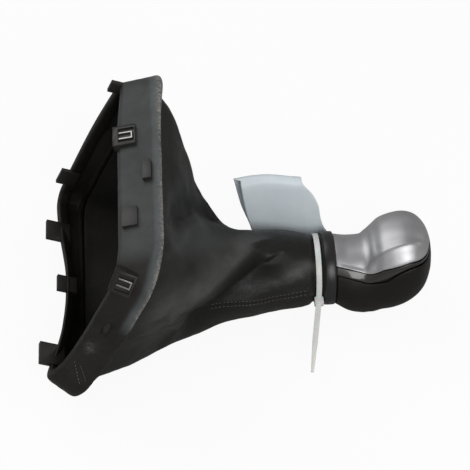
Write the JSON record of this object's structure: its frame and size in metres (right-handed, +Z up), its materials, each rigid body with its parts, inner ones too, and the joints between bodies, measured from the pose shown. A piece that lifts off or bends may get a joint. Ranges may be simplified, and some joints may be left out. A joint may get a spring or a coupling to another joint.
{
  "type": "gear knob",
  "caption": "Car gear knob with satin silver front cover, leather grip, leather gaiter on a clip-in frame, cable tie and tie-on tag, lying on its back.",
  "frame": {"origin": "centre of the bounding box's bottom, on the floor the part lies on", "axes": "+X from the gaiter's frame to the knob's tip, +Z up; the lever's axis lies along X and the knob's silver front looks up"},
  "size_m": [0.2548, 0.1742, 0.1369],
  "materials": {
    "band_leather": "satin, scuffed",
    "frame_plastic": "matte",
    "gaiter_leather": "satin",
    "spring_steel": "bright",
    "collar_plastic": "satin",
    "core_plastic": "matte",
    "satin_silver": "satin silver paint",
    "gloss_strip": "gloss",
    "grip_leather": "satin",
    "tie_nylon": "natural nylon",
    "tag_sheet": "smooth"
  },
  "bodies": {
    "root": {"band_leather": "band_leather", "gaiter_frame": "frame_plastic", "gaiter": "gaiter_leather", "spring_front_far": "spring_steel", "spring_front_near": "spring_steel", "spring_rear_near": "spring_steel", "collar_ring": "collar_plastic", "knob_core": "core_plastic", "knob_cover": "satin_silver", "knob_strip": "gloss_strip", "knob_grip": "grip_leather", "cable_tie": "tie_nylon", "tag": "tag_sheet"}
  },
  "joints": []
}
